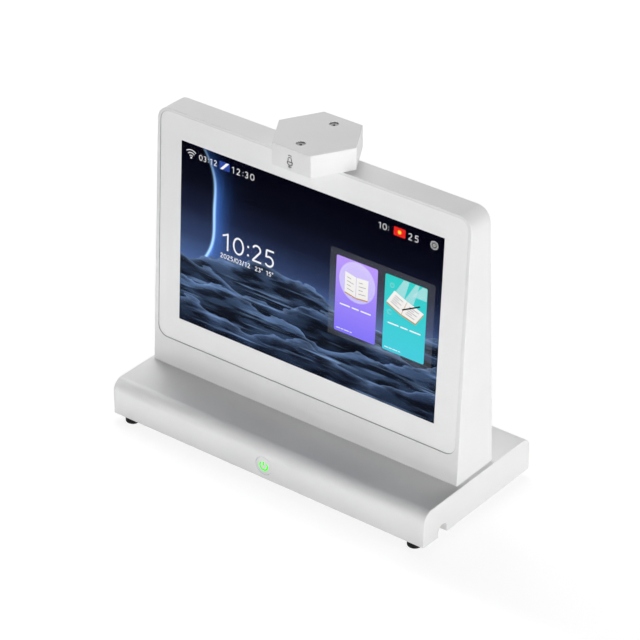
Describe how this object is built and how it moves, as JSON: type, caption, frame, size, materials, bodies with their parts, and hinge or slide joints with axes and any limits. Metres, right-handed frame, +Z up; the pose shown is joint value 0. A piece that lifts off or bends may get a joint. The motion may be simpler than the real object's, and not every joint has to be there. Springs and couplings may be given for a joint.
{
  "type": "dual-screen translator",
  "caption": "White wedge tower with a flush display on each face, standing on a low base with a lit push button and topped by a hexagonal microphone unit.",
  "frame": {"origin": "on the table plane at the bottom of the feet, under the middle of the base", "axes": "+Z up, -Y to the front (the power button's side), +X to the right seen from the front, where the cable outlet is"},
  "size_m": [0.2662, 0.12, 0.2421],
  "materials": {
    "white_shell": "satin white",
    "white_plate": "fine matte white",
    "black_screws": "blackened",
    "black_rubber": "matte",
    "white_cap": "satin white",
    "lit_lens": "clear green, lit from behind",
    "grey_moulding": "matte",
    "spring_steel": "bright wire",
    "circuit_board": "solder mask",
    "led_lens": "clear",
    "bright_screws": "zinc plated",
    "black_moulding": "matte",
    "socket_steel": "nickel plated",
    "speaker_cone": "soft matte",
    "black_foam": "foam",
    "cover_glass": "clear, polished",
    "white_ink": "printed ink behind the glass",
    "display_cell": "dark display glass, lit",
    "backlight_tray": "satin",
    "amber_ribbon": "polyimide film",
    "frame_sheet": "galvanised sheet",
    "brass_posts": "turned",
    "ivory_moulding": "matte",
    "chip_black": "matte",
    "sink_aluminium": "anodised",
    "harness_sleeve": "sleeved wires",
    "stem_steel": "turned"
  },
  "bodies": {
    "housing": {"base_shell": "white_shell", "base_bottom_plate": "white_plate", "bottom_plate_screws": "black_screws", "foot_front_left": "black_rubber", "foot_front_right": "black_rubber", "foot_rear_left": "black_rubber", "foot_rear_right": "black_rubber", "button_guide": "grey_moulding", "button_spring": "spring_steel", "button_board": "circuit_board", "button_leds": "led_lens", "button_screws": "bright_screws", "tact_switch_body": "black_moulding", "io_board": "circuit_board", "usb_c_socket": "socket_steel", "io_board_screws": "bright_screws", "speaker_box_left": "black_moulding", "speaker_box_right": "black_moulding", "speaker_cones": "speaker_cone", "speaker_gaskets": "black_foam", "tower_shell": "white_shell", "tower_screws": "bright_screws", "front_cover_glass": "cover_glass", "rear_cover_glass": "cover_glass", "front_bezel_print": "white_ink", "rear_bezel_print": "white_ink", "front_glass_tape": "black_foam", "rear_glass_tape": "black_foam", "front_lcd_cell": "display_cell", "rear_lcd_cell": "display_cell", "front_backlight": "backlight_tray", "rear_backlight": "backlight_tray", "front_display_ribbon": "amber_ribbon", "rear_display_ribbon": "amber_ribbon", "mid_frame": "frame_sheet", "mid_frame_screws": "bright_screws", "mainboard": "circuit_board", "bridge_board": "circuit_board", "board_standoffs": "brass_posts", "board_screws": "bright_screws", "board_connectors": "ivory_moulding", "main_processor": "chip_black", "heat_sink": "sink_aluminium", "memory_chips": "chip_black", "wireless_module": "socket_steel", "wifi_antenna": "amber_ribbon", "power_harness": "harness_sleeve", "mic_housing": "white_shell", "mic_base_plate": "white_plate", "mic_plate_screws": "black_screws", "mic_board": "circuit_board", "mic_board_screws": "bright_screws", "microphones": "brass_posts", "mic_gaskets": "black_foam", "mic_stem": "stem_steel", "mic_stem_nut": "bright_screws", "mic_wire": "harness_sleeve"},
    "power_button": {"power_button_cap": "white_cap", "power_icon_lens": "lit_lens", "tact_switch_plunger": "grey_moulding"}
  },
  "joints": [
    {"name": "power_button_press", "type": "slide", "parent": "housing", "child": "power_button", "axis": [0, 1, 0], "range_m": [0, 0.0008], "stiffness_N_per_m": 1500, "springref_m": -0.0006, "deforming": ["button_spring"]}
  ]
}
